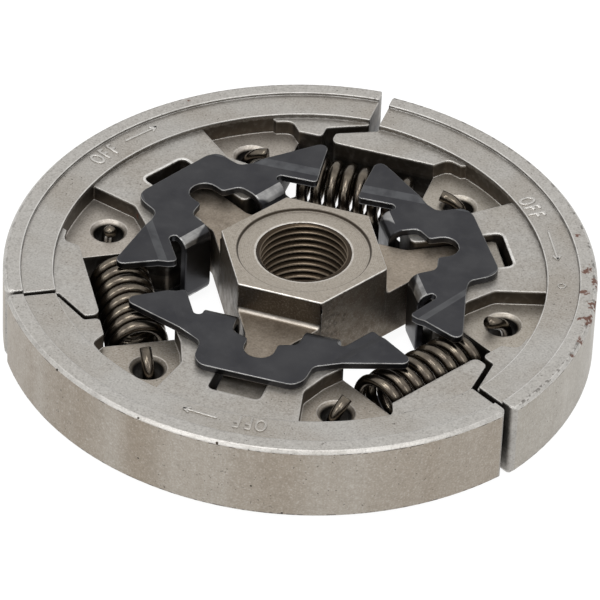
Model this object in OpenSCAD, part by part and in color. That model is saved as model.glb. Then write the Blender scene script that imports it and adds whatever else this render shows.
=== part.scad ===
// Three-shoe centrifugal clutch of a garden machine, seen with its hexagon up.
// The hub axis is Z. The back face that seats on the crankshaft lies at Z = 0.
// Each shoe slides outwards on one arm of the carrier and two springs pull it back.

/* [Hub and arms] */
// Hexagon across flats
hex_af = 19; // [17:0.5:21]
// Height of the hexagon's top above the middle plane of the shoes
hex_rise = 7.2; // [6:0.1:10]
// Radius of the threaded bore, an M12 x 1 left-hand thread
bore_r = 6; // [5:0.25:6.5]
// Radius of the turned recess round the bore
recess_r = 8.4; // [7.5:0.1:9]
// Depth of the turned recess
recess_depth = 0.4; // [0.2:0.1:1]
// Radius of the round boss on the back
boss_r = 8.2; // [7.5:0.1:9]
// Chamfer of the boss on the back
back_chamfer = 0.5; // [0.2:0.1:0.8]
// Width of one arm
arm_w = 5.8; // [4:0.2:6.4]
// Thickness of the arms and of the three-sided hub
arm_t = 6.9; // [5:0.1:8]
// Height of the shoes' middle plane above that of the arms
arm_drop = 0.3; // [0:0.05:0.5]
// Distance from the axis to the end of an arm
arm_reach = 25.6; // [24:0.1:25.8]
// Fillet where an arm's top meets the hexagon
root_fillet = 0.6; // [0.3:0.1:1]

/* [Shoes] */
// Radius of the friction face, equal to the inside of the drum
drum_r = 38.8; // [37.5:0.1:41]
// Way that a shoe slides out before it meets the drum
shoe_travel = 1.75; // [0.8:0.05:2]
// Thickness of a shoe at the rim
shoe_t = 10.4; // [10:0.1:13]
// Width of the raised rim band
rim_band_w = 2.2; // [1:0.1:3]
// Width of the band inside the rim band
mark_band_w = 4.1; // [3.5:0.1:4.6]
// Step from the rim band down to the next band
rim_step = 0.4; // [0.1:0.05:0.6]
// Step from there down to the inner face
inner_step = 0.65; // [0.2:0.05:0.8]
// Chamfer of the rim's edges
rim_chamfer = 0.4; // [0.2:0.05:0.8]
// Thickness of the two webs that carry the spring hooks
web_t = 4.2; // [3.5:0.1:4.6]
// Width of the slot that an arm guides
slot_w = 6.8; // [6.6:0.1:7.2]
// Distance from the axis to the slot's closed end
slot_reach = 26.6; // [26:0.1:27]
// Distance from the axis to the inner ends of the two legs
leg_reach = 14.8; // [14.6:0.1:16]
// Half of the width over both legs at their inner ends
leg_half = 9.6; // [8:0.1:10]
// Half of the width between the pockets at the rim
neck_rim_half = 9.3; // [9:0.1:11]
// Half of the width between the pockets at the waist
neck_waist_half = 7.9; // [7:0.1:9]
// How far outside the springs' axes the waist lies
waist_rise = 0.85; // [-1:0.05:1.5]
// Radius of a spring hole
hole_r = 1.9; // [1.7:0.1:2.3]
// Chamfer of a spring hole
hole_chamfer = 0.5; // [0.2:0.1:0.8]
// Gap between the end faces of two shoes
end_gap = 1; // [0.8:0.1:1.6]
// Gap along the sloped part of the seam
seam_gap = 0.5; // [0.4:0.05:0.8]
// Thickness of a tongue at its root
tongue_root = 4.25; // [4:0.05:4.7]
// How far the tongue of a shoe reaches past the seam
tongue_len = 4.9; // [4:0.1:5.2]
// Radius of the upright corners where a shoe's end faces meet the rim
end_r = 1; // [0.5:0.1:1.5]

/* [Springs] */
// Outer diameter of a spring
spring_od = 8; // [7.5:0.1:8.6]
// Wire diameter
wire_d = 1.5; // [1.2:0.1:1.6]
// Number of turns
spring_turns = 8; // [7:1:9]
// Distance from the middle of a spring to its hook
hook_half = 13.9; // [13.5:0.1:14.5]
// Distance from the hub axis to a spring's axis
spring_reach = 22.15; // [21.9:0.05:22.4]
// Gap between the coil and the shoe outside it
pocket_gap = 0.75; // [0.5:0.05:1]
// Gap between the last turn and the web
web_gap = 0.2; // [0.15:0.05:0.5]
// Height of the shoes' middle plane above the springs' axes
spring_drop = 0.15; // [0:0.05:0.2]

/* [Retainers] */
// Thickness of the retainer sheet
plate_t = 1; // [0.8:0.1:1.2]
// Distance from the axis to the plate's outer edge
plate_reach = 23.9; // [23:0.1:24.5]
// Half of the plate's width at its outer edge
plate_half = 7; // [6.5:0.1:7.5]
// Distance from the axis to the plate's shoulders
shoulder_reach = 18.75; // [18.2:0.05:19]
// Clearance between the two folded flaps and the inner ends of the legs
flap_gap = 1.4; // [1:0.1:1.6]
// Half of the gap between the two flaps
mouth_half = 4.4; // [4:0.1:5]
// Width of one flap
flap_w = 4.4; // [3.6:0.1:4.6]
// Outer radius of the folds
fold_r = 1.8; // [1.5:0.1:2]
// Radius of the round end of the mouth
mouth_r = 1.95; // [1.6:0.05:2.3]
// Distance from the axis to the centre of that round end
mouth_reach = 18.3; // [17.8:0.1:19]
// Height of the small step that lifts a wing off its spring
wing_step = 0.3; // [0.2:0.05:0.5]
// Distance of a wing's tip past the spring's axis
wing_over = 2.1; // [1.5:0.1:2.5]

/* [Settled position at rest] */
// Sideways place of the front, right and left shoe on its arm
shoe_side = [0.2, 0.35, -0.1]; // [-0.4:0.05:0.4]
// Outward place of the front, right and left shoe on its arm
shoe_out = [0, -0.2, 0.35]; // [-0.3:0.05:0.4]
// Turn of each shoe on its arm in degrees
shoe_turn = [-0.2, 0.2, 0.8]; // [-1:0.1:1]
// Sideways place of each retainer
plate_side = [-0.3, -0.3, -0.2]; // [-0.3:0.05:0.3]
// Outward place of each retainer
plate_out = [-0.3, -0.2, 0.4]; // [-0.3:0.05:0.4]
// Turn of each retainer in degrees
plate_turn = [1, 3.5, 2.5]; // [-3.5:0.5:3.5]

/* [Hidden] */
$fn = 96;

arm_angle = [-90, 30, 150];
spring_angle = [-30, 90, 210];
sector = 30;
steel = [0.65, 0.62, 0.58];
worn_steel = [0.60, 0.56, 0.51];
spring_brown = [0.42, 0.36, 0.29];
black_steel = [0.27, 0.28, 0.29];

// Heights, counted from the middle plane
rim_h = shoe_t / 2;
mark_h = rim_h - rim_step;
inner_h = mark_h - inner_step;
mid_z = inner_h + plate_t + wing_step;
arm_top = mid_z - arm_drop + arm_t / 2;
hub_reach = hex_af / 2;
cut_h = 3 * shoe_t;
lap = 0.3;
past_axis = 10;

// Radii of the bands, counted from the centre of the friction face
rim_in_r = drum_r - rim_band_w;
mark_in_r = rim_in_r - mark_band_w;

// Springs
coil_r = (spring_od - wire_d) / 2;
pocket_reach = spring_reach + spring_od / 2 + pocket_gap;
seam_reach = pocket_reach + tongue_root;
waist_reach = spring_reach + waist_rise;
hook_run = 5.8;
coil_half = hook_half - hook_run;
web_end = coil_half + wire_d / 2 + web_gap;
web_inner_reach = spring_reach - spring_od / 2 - web_gap;
hook_lean = 1.4;
hook_rise = coil_r + 0.6;
bend_r = 1.3;
lead_out = [[0.9, 0.9, 0.05], [1.9, 0.3, 0]];
wire_sides = 8;
turn_steps = 18;
bend_steps = 4;

// Seam between two shoes: t runs along the spring, d runs outwards
seam_shift = 0.1;
seam_slope = 25.5;
tongue_slope_len = 4.2;
tongue_foot = 0.4;
turn_reach = 22;
end_bite = 0.03;

// Pockets beside the spring holes
pocket_over = 3;
foot_cut = [1.65, 2.5];
thumb_in = [0.3, 0.9];
thumb_out = [0.8, 2.1];
thumb_back = [1.6, 1.3];

// Retainers
flap_reach = leg_reach - flap_gap - plate_t;
flat_start = flap_reach + fold_r;
flap_out = mouth_half + flap_w;
slit_r = 0.65;
slit_steps = 8;
slit_centre = [flap_out + 0.9165 * slit_r, flat_start - 0.4 * slit_r];
step_start = spring_reach - spring_od / 2 - 1.15;
step_end = spring_reach - spring_od / 2;
wing_t = 2.9;
wing_tip_t = 3.5;

// Point at t along a spring and d away from the axis, on one side of a shoe
function seat(side, t, d) = [
    side * (d * cos(sector) - t * sin(sector)),
    d * sin(sector) + t * cos(sector)];

function unit(v) = v / norm(v);

// Arc that rounds the corner at p between its neighbours a and b
function corner(a, p, b, r, n = 5) =
    r <= 0 ? [p] :
    let (
        to_a = unit(a - p),
        to_b = unit(b - p),
        half = acos(to_a * to_b) / 2,
        centre = p + unit(to_a + to_b) * r / sin(half),
        from = p + to_a * r / tan(half) - centre,
        to = p + to_b * r / tan(half) - centre,
        start = atan2(from[1], from[0]),
        sweep = atan2(from[0] * to[1] - from[1] * to[0], from * to))
    [for (i = [0:n]) centre + r * [cos(start + sweep * i / n), sin(start + sweep * i / n)]];

// Closed outline through corners given as [x, y, radius]
function rounded(corners) = let (n = len(corners)) [
    for (i = [0:n - 1])
        let (a = corners[(i + n - 1) % n], p = corners[i], b = corners[(i + 1) % n])
        each corner([a[0], a[1]], [p[0], p[1]], [b[0], b[1]], p[2])];

function with_r(p, r) = [p[0], p[1], r];

// Outline of the three-sided hub with its arms
function arm_corners(k) =
    let (foot = hub_reach / sin(sector) - arm_w / 2 / tan(sector))
    [for (c = [[1, foot, 2], [1, arm_reach, 0.6], [-1, arm_reach, 0.6], [-1, foot, 2]])
        let (a = arm_angle[k] - 90, x = c[0] * arm_w / 2, y = c[1])
        [x * cos(a) - y * sin(a), x * sin(a) + y * cos(a), c[2]]];

module carrier_outline() {
    polygon(rounded([for (k = [0:2]) each arm_corners(k)]));
}

module carrier_plate() {
    translate([0, 0, arm_top - arm_t])
        linear_extrude(arm_t)
            carrier_outline();
}

// Fillet along the foot of one hexagon face, which looks along +Y
module face_fillet() {
    translate([0, hub_reach, arm_top])
        rotate([90, 0, 90])
            linear_extrude(hex_af, center = true)
                difference() {
                    translate([-root_fillet, -root_fillet])
                        square(2 * root_fillet);
                    translate([root_fillet, root_fillet])
                        circle(root_fillet);
                }
}

module root_fillets() {
    intersection() {
        translate([0, 0, mid_z])
            linear_extrude(hex_rise)
                carrier_outline();
        union() {
            for (a = arm_angle)
                rotate(a - 90)
                    face_fillet();
        }
    }
}

module carrier() {
    top_z = mid_z + hex_rise;
    color(worn_steel)
        difference() {
            union() {
                carrier_plate();
                translate([0, 0, mid_z])
                    cylinder(h = hex_rise, r = hub_reach / cos(sector), $fn = 6);
                root_fillets();
                translate([0, 0, back_chamfer])
                    cylinder(h = mid_z - back_chamfer, r = boss_r);
                cylinder(h = back_chamfer, r1 = boss_r - back_chamfer, r2 = boss_r);
            }
            translate([0, 0, -1])
                cylinder(h = top_z + 2, r = bore_r);
            translate([0, 0, top_z - recess_depth])
                cylinder(h = recess_depth + 1, r = recess_r);
        }
}

// Half section of the shoe's ring: rim band, next band and inner face
function ring_side() = [
    [0, inner_h], [mark_in_r, inner_h], [mark_in_r, mark_h], [rim_in_r, mark_h],
    [rim_in_r, rim_h], [drum_r - rim_chamfer, rim_h], [drum_r, rim_h - rim_chamfer]];

module shoe_ring() {
    half = ring_side();
    n = len(half);
    translate([0, -shoe_travel, 0])
        rotate_extrude($fn = 192)
            polygon(concat(half, [for (i = [n - 1:-1:0]) [half[i][0], -half[i][1]]]));
}

// Ends of a shoe: the tongue at its left end and the notch at its right end
function left_end() =
    let (foot_d = seam_reach - tongue_slope_len * tan(seam_slope))
    [
        with_r(seat(-1, web_end, web_inner_reach), 0),
        with_r(seat(-1, web_end, pocket_reach), 0),
        with_r(seat(-1, -tongue_len, pocket_reach), 0.9),
        with_r(seat(-1, -tongue_len, foot_d - tongue_foot), 0.6),
        with_r(seat(-1, seam_shift - tongue_slope_len, foot_d), 0),
        with_r(seat(-1, seam_shift, seam_reach), 0.3),
        with_r(seat(-1, seam_shift, drum_r + 5), 0),
        [-1.5 * drum_r, 1.5 * drum_r, 0]];

function right_end() =
    let (
        face_t = end_gap - seam_shift,
        step_t = tongue_len + end_gap,
        lift = seam_gap / cos(seam_slope),
        face_d = seam_reach + lift - (face_t + seam_shift) * tan(seam_slope),
        step_d = seam_reach + lift - (step_t + seam_shift) * tan(seam_slope))
    [
        [1.5 * drum_r, 1.5 * drum_r, 0],
        with_r(seat(1, face_t, drum_r + 5), 0),
        with_r(seat(1, face_t, face_d), 0.3),
        with_r(seat(1, step_t, step_d), 0.5),
        with_r(seat(1, step_t, pocket_reach), 0.6),
        with_r(seat(1, web_end, pocket_reach), 0),
        with_r(seat(1, web_end, web_inner_reach), 0)];

function leg_and_slot() = [
    [leg_half, leg_reach, 1],
    [slot_w / 2, leg_reach, 0.8],
    [slot_w / 2, slot_reach, 0.8],
    [-slot_w / 2, slot_reach, 0.8],
    [-slot_w / 2, leg_reach, 0.8],
    [-leg_half, leg_reach, 1]];

// One pocket in a face of the shoe, open towards the spring
module pocket_plan() {
    rim_reach = sqrt(pow(mark_in_r, 2) - pow(neck_rim_half, 2)) - shoe_travel;
    tilt = (neck_rim_half - neck_waist_half) / (rim_reach - waist_reach);
    web_foot = seat(1, web_end, web_inner_reach);
    web_far = seat(1, web_end, pocket_reach);
    thumb = web_far + thumb_out;
    intersection() {
        translate([0, -shoe_travel])
            circle(mark_in_r, $fn = 192);
        polygon(rounded([
            [neck_rim_half + pocket_over * tilt, rim_reach + pocket_over, 0],
            [neck_waist_half, waist_reach, 1.5],
            [web_foot[0] - foot_cut[0], web_foot[1] + foot_cut[1], 1],
            with_r(web_foot, 0),
            [web_foot[0] + pocket_over, web_foot[1] - pocket_over, 0],
            with_r(web_far - thumb_in, 0),
            with_r(thumb, 1.2),
            [thumb[0] - thumb_back[0], thumb[1] + thumb_back[1], 0],
            [thumb[0] - thumb_back[0], rim_reach + pocket_over, 0]]));
    }
}

module spring_hole() {
    hole = seat(1, hook_half, spring_reach);
    translate([hole[0], hole[1], 0]) {
        cylinder(h = cut_h, r = hole_r, center = true);
        for (face = [0, 1])
            mirror([0, 0, face])
                translate([0, 0, web_t / 2 - hole_chamfer])
                    cylinder(h = 2 * hole_chamfer, r1 = hole_r, r2 = hole_r + 2 * hole_chamfer);
    }
}

// Cuts the upright corner between an end face at t and the rim to a round
module end_rounding(side, t) {
    centre_t = -shoe_travel * cos(sector);
    centre_d = -shoe_travel * sin(sector);
    round_t = t + end_r - end_bite;
    round_d = centre_d + sqrt(pow(drum_r - end_r + end_bite, 2) - pow(round_t - centre_t, 2));
    centre = seat(side, round_t, round_d);
    to_rim = unit(centre - [0, -shoe_travel]);
    to_face = seat(side, -1, 0);
    linear_extrude(cut_h, center = true)
        difference() {
            polygon([centre, centre + 3 * end_r * to_face,
                centre + 3 * end_r * (to_face + to_rim), centre + 3 * end_r * to_rim]);
            translate(centre)
                circle(end_r);
        }
}

// One shoe on its arm, which points along +Y here
module shoe() {
    difference() {
        intersection() {
            shoe_ring();
            linear_extrude(cut_h, center = true)
                polygon(rounded(concat(left_end(), right_end(), leg_and_slot())));
        }
        for (side = [0, 1], face = [0, 1])
            mirror([side, 0, 0])
                mirror([0, 0, face])
                    translate([0, 0, web_t / 2])
                        linear_extrude(shoe_t)
                            pocket_plan();
        for (side = [0, 1])
            mirror([side, 0, 0])
                spring_hole();
        end_rounding(-1, seam_shift);
        end_rounding(1, end_gap - seam_shift);
    }
}

module placed_shoe(k) {
    color(steel)
        translate([0, 0, mid_z])
            rotate(arm_angle[k] - 90)
                translate([shoe_side[k], shoe_out[k] + turn_reach, 0])
                    rotate(shoe_turn[k])
                        translate([0, -turn_reach, 0])
                            shoe();
}

// Right half of the flat sheet: shoulder, wing, slit and the mouth for the arm
function plate_right() =
    let (
        tip = seat(1, wing_tip_t, spring_reach + wing_over),
        heel = seat(1, wing_t, slit_centre * [cos(sector), sin(sector)] + slit_r),
        slit_end = 180 - asin((flat_start - slit_centre[1]) / slit_r),
        below = flap_reach - 1)
    concat(
        [[plate_half, plate_reach, 2],
            [plate_half + 0.35, shoulder_reach + 0.85, 1.2],
            [plate_half + 1.9, shoulder_reach, 1],
            with_r(tip, 0.9),
            with_r(heel, 0.5)],
        [for (i = [0:slit_steps])
            let (a = sector + (slit_end - sector) * i / slit_steps)
            with_r(slit_centre + slit_r * [cos(a), sin(a)], 0)],
        [[flap_out, below, 0],
            [mouth_half, below, 0],
            [mouth_half, flat_start, 0],
            [mouth_half - 0.15, flat_start + 2, 1.2],
            [mouth_r, mouth_reach - 1.25, 0.5],
            [mouth_r, mouth_reach + mouth_r, 0.95 * mouth_r]]);

function mirrored(corners) =
    [for (i = [len(corners) - 1:-1:0]) [-corners[i][0], corners[i][1], corners[i][2]]];

module plate_plan() {
    polygon(rounded(concat(plate_right(), mirrored(plate_right()))));
}

// Upper sheet as bent: flat in the middle, with a small step up to each wing
module upper_sheet() {
    far = 3 * spring_reach;
    flap_end = flap_out + 1.2 * slit_r;
    side_x = (step_start + 5 - lap) / cos(sector);
    translate([0, 0, inner_h]) {
        linear_extrude(plate_t)
            polygon([[0, (step_start - lap) / sin(sector)],
                [side_x, -past_axis], [flap_end, -past_axis], [flap_end, flat_start + lap],
                [-flap_end, flat_start + lap], [-flap_end, -past_axis], [-side_x, -past_axis]]);
        for (side = [0, 1])
            mirror([side, 0, 0])
                rotate([90, 0, sector])
                    linear_extrude(far, center = true)
                        polygon([[step_start - 2 * lap, 0], [step_start, 0],
                            [step_end, wing_step], [far, wing_step],
                            [far, wing_step + plate_t], [step_end, wing_step + plate_t],
                            [step_start, plate_t], [step_start - 2 * lap, plate_t]]);
    }
}

// Section of the flaps with their folds, from the upper sheet to the lower one
function flap_section() =
    let (
        top = inner_h + plate_t,
        far = flat_start + 4 * lap,
        inside = flap_reach + plate_t,
        inner_fold = fold_r - plate_t)
    concat(
        [[far, top]],
        corner([flat_start, top], [flap_reach, top], [flap_reach, 0], fold_r),
        corner([flap_reach, 0], [flap_reach, -top], [flat_start, -top], fold_r),
        [[far, -top], [far, -inner_h]],
        corner([flat_start, -inner_h], [inside, -inner_h], [inside, 0], inner_fold),
        corner([inside, 0], [inside, inner_h], [flat_start, inner_h], inner_fold),
        [[far, inner_h]]);

module retainer() {
    intersection() {
        linear_extrude(cut_h, center = true)
            plate_plan();
        union() {
            for (face = [0, 1])
                mirror([0, 0, face])
                    upper_sheet();
            rotate([90, 0, 90])
                linear_extrude(2 * flap_out + slit_r, center = true)
                    polygon(flap_section());
        }
    }
}

module placed_retainer(k) {
    color(black_steel)
        translate([0, 0, mid_z])
            rotate(arm_angle[k] - 90)
                translate([plate_side[k], plate_out[k] + mouth_reach, 0])
                    rotate(plate_turn[k])
                        translate([0, -mouth_reach, 0])
                            retainer();
}

// Centre line of half a spring, from the middle to the hook's cut end
function half_coil() =
    let (steps = spring_turns / 2 * turn_steps)
    [for (i = [0:steps])
        let (turn = 360 * i / turn_steps - 90 - 180 * (spring_turns % 2))
        [coil_half * i / steps, coil_r * cos(turn - 180 * spring_turns), coil_r * sin(turn)]];

function hook() =
    let (
        foot_x = hook_half + 0.5,
        lean = atan2(hook_lean, hook_rise + coil_r),
        sweep = 90 + lean)
    concat(
        [for (p = lead_out) [coil_half + p[0], p[1], p[2] - coil_r]],
        [for (i = [0:bend_steps])
            let (a = -90 + sweep * i / bend_steps)
            [foot_x - bend_r + bend_r * cos(a), 0, -coil_r + bend_r + bend_r * sin(a)]],
        [[foot_x - hook_lean, 0, hook_rise]]);

function spring_line() =
    let (right = concat(half_coil(), hook()))
    concat(
        [for (i = [len(right) - 1:-1:1]) [-right[i][0], -right[i][1], right[i][2]]],
        right);

// Move of a shoe's spring hole at rest, seen from the spring that hooks into it
function end_move(k, side) =
    let (
        a = 2 * side * sector,
        hole = seat(-side, hook_half, spring_reach) - [0, turn_reach],
        turn = shoe_turn[k],
        x = shoe_side[k] + hole[0] * (cos(turn) - 1) - hole[1] * sin(turn),
        y = shoe_out[k] + hole[0] * sin(turn) + hole[1] * (cos(turn) - 1))
    [x * cos(a) + y * sin(a), -x * sin(a) + y * cos(a), 0];

// Tube of wire_sides faces along a line of points
module wire(line) {
    n = len(line);
    along = [for (i = [0:n - 1]) unit(line[min(i + 1, n - 1)] - line[max(i - 1, 0)])];
    rings = [for (i = [0:n - 1])
        let (
            outward = [0, line[i][1], line[i][2]],
            ref = abs(unit(outward) * along[i]) > 0.8 ? [1, 0, 0] : outward,
            side_a = unit(cross(along[i], ref)),
            side_b = cross(side_a, along[i]))
        for (j = [0:wire_sides - 1])
            let (a = 360 * j / wire_sides)
            line[i] + wire_d / 2 * (side_a * cos(a) + side_b * sin(a))];
    faces = concat(
        [[for (j = [0:wire_sides - 1]) j]],
        [for (i = [0:n - 2], j = [0:wire_sides - 1])
            let (p = i * wire_sides + j, q = i * wire_sides + (j + 1) % wire_sides)
            each [[p, p + wire_sides, q], [q, p + wire_sides, q + wire_sides]]],
        [[for (j = [wire_sides - 1:-1:0]) (n - 1) * wire_sides + j]]);
    polyhedron(rings, faces);
}

// Spring k lies between the shoe anticlockwise of it and the shoe clockwise of it
module placed_spring(k) {
    clockwise = k == 1 ? 1 : (k == 0 ? 0 : 2);
    other = k == 1 ? 2 : (k == 0 ? 1 : 0);
    end_b = end_move(clockwise, 1);
    end_a = end_move(other, -1);
    color(spring_brown)
        rotate(spring_angle[k] - 90)
            translate([0, spring_reach, mid_z - spring_drop])
                wire([for (p = spring_line())
                    let (s = min(max(0.5 + p[0] / (2 * hook_half), 0), 1))
                    p + end_a * (1 - s) + end_b * s]);
}

module shoe_front() { placed_shoe(0); }
module shoe_right() { placed_shoe(1); }
module shoe_left() { placed_shoe(2); }
module retainer_front() { placed_retainer(0); }
module retainer_right() { placed_retainer(1); }
module retainer_left() { placed_retainer(2); }
module spring_right() { placed_spring(0); }
module spring_rear() { placed_spring(1); }
module spring_left() { placed_spring(2); }

carrier();
shoe_front();
shoe_right();
shoe_left();
retainer_front();
retainer_right();
retainer_left();
spring_right();
spring_rear();
spring_left();
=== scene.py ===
"""Looks of a three-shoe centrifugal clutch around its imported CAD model.

The solids of the hub, the shoes and the retainers stay and get their finishes here. The springs are
made again as round wire, and the thread and the raised marks are added. Lengths are in metres, and
Z is the hub axis with the hexagon up.
"""

import logging
from dataclasses import dataclass, field
from enum import Enum
from math import atan2, cos, pi, radians, sin
from typing import Dict, List, Optional, Tuple, Union

import bmesh
import bpy
from mathutils import Matrix, Vector


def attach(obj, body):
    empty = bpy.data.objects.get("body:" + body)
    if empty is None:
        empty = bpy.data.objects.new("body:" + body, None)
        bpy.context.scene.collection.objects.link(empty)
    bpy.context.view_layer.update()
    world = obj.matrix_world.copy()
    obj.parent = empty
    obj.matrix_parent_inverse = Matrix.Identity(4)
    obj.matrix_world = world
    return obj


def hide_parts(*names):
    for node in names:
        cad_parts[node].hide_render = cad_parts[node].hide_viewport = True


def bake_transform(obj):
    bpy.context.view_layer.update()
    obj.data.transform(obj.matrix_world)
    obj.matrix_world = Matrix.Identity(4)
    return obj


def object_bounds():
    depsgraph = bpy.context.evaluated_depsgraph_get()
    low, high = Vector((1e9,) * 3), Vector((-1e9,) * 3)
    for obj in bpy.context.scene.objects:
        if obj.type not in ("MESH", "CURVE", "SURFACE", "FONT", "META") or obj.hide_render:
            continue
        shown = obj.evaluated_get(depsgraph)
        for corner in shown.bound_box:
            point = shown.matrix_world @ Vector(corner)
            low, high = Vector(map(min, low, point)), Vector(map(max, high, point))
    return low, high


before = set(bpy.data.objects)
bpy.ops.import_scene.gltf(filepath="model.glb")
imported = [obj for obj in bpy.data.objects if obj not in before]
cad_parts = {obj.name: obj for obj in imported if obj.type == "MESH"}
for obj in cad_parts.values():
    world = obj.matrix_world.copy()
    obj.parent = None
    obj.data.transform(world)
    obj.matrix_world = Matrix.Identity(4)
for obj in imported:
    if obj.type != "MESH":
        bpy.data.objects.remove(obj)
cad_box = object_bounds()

log = logging.getLogger("clutch")
MM = 0.001
MID_HEIGHT = 5.45 * MM
Socket = Union[bpy.types.NodeSocket, float, Tuple[float, ...]]


def linear(code: str) -> Tuple[float, float, float, float]:
    """Turns an sRGB hex colour into linear red, green, blue and alpha.

    Args:
        code: colour such as "#A59E94".

    Returns:
        The four linear values, with an alpha of 1.
    """
    parts = [int(code[i:i + 2], 16) / 255 for i in (1, 3, 5)]
    red, green, blue = [c / 12.92 if c <= 0.04045 else ((c + 0.055) / 1.055) ** 2.4 for c in parts]
    return red, green, blue, 1.0


def add_node(
    tree: bpy.types.NodeTree,
    kind: str,
    sockets: Optional[Dict[Union[str, int], Socket]] = None,
    **settings: object,
) -> bpy.types.Node:
    """Adds a node with its settings, socket values and links.

    Args:
        tree: node tree that gets the node.
        kind: Blender's name of the node type.
        sockets: input name or number, with a value or with the output that feeds it.
        settings: properties of the node.

    Returns:
        The new node.
    """
    node = tree.nodes.new(kind)
    for name, value in settings.items():
        setattr(node, name, value)
    for key, value in (sockets or {}).items():
        if isinstance(value, bpy.types.NodeSocket):
            tree.links.new(value, node.inputs[key])
        else:
            node.inputs[key].default_value = value
    return node


def new_object(name: str, mesh: bpy.types.Mesh) -> bpy.types.Object:
    """Puts a mesh into the scene as an object at the origin."""
    item = bpy.data.objects.new(name, mesh)
    bpy.context.scene.collection.objects.link(item)
    return item


def mesh_from(name: str, shape: bmesh.types.BMesh) -> bpy.types.Mesh:
    """Merges doubles, turns the faces outwards and returns the mesh.

    Args:
        name: name of the mesh.
        shape: bmesh that is used up here.

    Returns:
        The finished mesh.
    """
    bmesh.ops.remove_doubles(shape, verts=shape.verts, dist=0.002 * MM)
    bmesh.ops.recalc_face_normals(shape, faces=shape.faces)
    mesh = bpy.data.meshes.new(name)
    shape.to_mesh(mesh)
    shape.free()
    return mesh


class End(Enum):
    """The two ends of a spring, seen along the clockwise way round the hub."""

    AHEAD = 1
    BEHIND = -1


@dataclass(frozen=True)
class Hook:
    """Where the cut end of a spring's hook stands, in mm, as the photo shows each one.

    The end is given by its distance back from the middle of the hole towards the coil, and by its
    height above the web.
    """

    back: float
    above: float


@dataclass(frozen=True)
class Spot:
    """One place with rust, a chip or painted shade: where it is and how far it reaches, in mm, and its
    strength.
    """

    place: Tuple[float, float, float]
    reach: float
    strength: float = 1.0


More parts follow.
